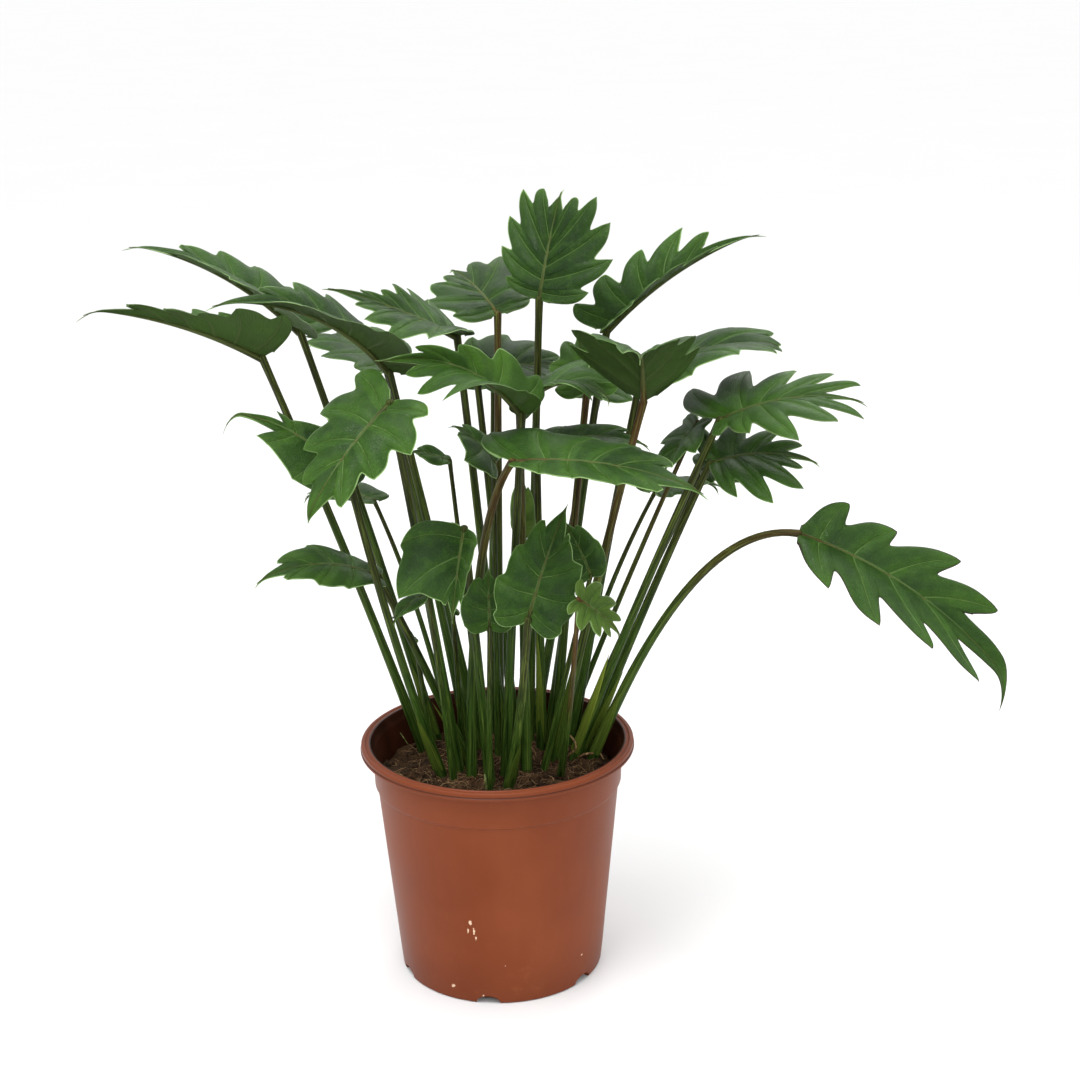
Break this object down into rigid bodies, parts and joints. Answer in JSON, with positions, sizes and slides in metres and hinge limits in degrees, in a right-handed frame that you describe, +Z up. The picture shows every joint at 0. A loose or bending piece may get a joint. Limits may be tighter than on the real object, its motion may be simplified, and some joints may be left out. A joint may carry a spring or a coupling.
{
  "type": "potted philodendron",
  "caption": "Potted philodendron: a clump of lobed, glossy leaves on long arching stalks, standing in soil in a round tapered plastic nursery pot.",
  "frame": {"origin": "centre of the pot's flat base, on the surface it stands on", "axes": "+Z up along the pot's axis, -Y towards the viewer, +X to the viewer's right, the side of the long drooping leaf"},
  "size_m": [0.6477, 0.4294, 0.5947],
  "materials": {
    "pot": "satin terracotta-coloured moulded plastic",
    "soil": "damp peat and coir fibre",
    "leaf": "smooth semi-gloss living leaf",
    "young_leaf": "smooth pale young leaf"
  },
  "bodies": {
    "root": {"pot": "pot", "soil": "soil", "leaf_left_far": "leaf", "leaf_left_high": "leaf", "leaf_left_arching": "leaf", "leaf_left_front": "leaf", "leaf_left_oval": "leaf", "leaf_top_left": "leaf", "leaf_top_middle": "leaf", "leaf_top": "leaf", "leaf_right_high": "leaf", "leaf_centre_long": "leaf", "leaf_right_upturned": "leaf", "leaf_right_behind": "leaf", "leaf_left_low": "leaf", "leaf_left_bud": "leaf", "leaf_front_hanging": "leaf", "leaf_right_long": "leaf", "leaf_right_fan": "leaf", "leaf_right_inner": "leaf", "leaf_right_under": "leaf", "leaf_right_drooping": "leaf", "leaf_centre_light": "leaf", "leaf_centre_right": "leaf", "leaf_behind_centre": "leaf", "leaf_behind_light": "leaf", "leaf_centre_wavy": "leaf", "leaf_centre_bud": "leaf", "leaf_front": "leaf", "leaf_front_glossy": "leaf", "leaf_inner_right": "leaf", "leaf_front_young": "young_leaf", "leaf_inner_narrow": "young_leaf", "leaf_centre_left": "leaf", "leaf_inner_left": "leaf", "leaf_inner_low": "leaf", "leaf_back_left": "leaf", "leaf_back_middle": "leaf", "leaf_back_right": "leaf", "leaf_back_low": "leaf", "leaf_back_small": "leaf"}
  },
  "joints": []
}
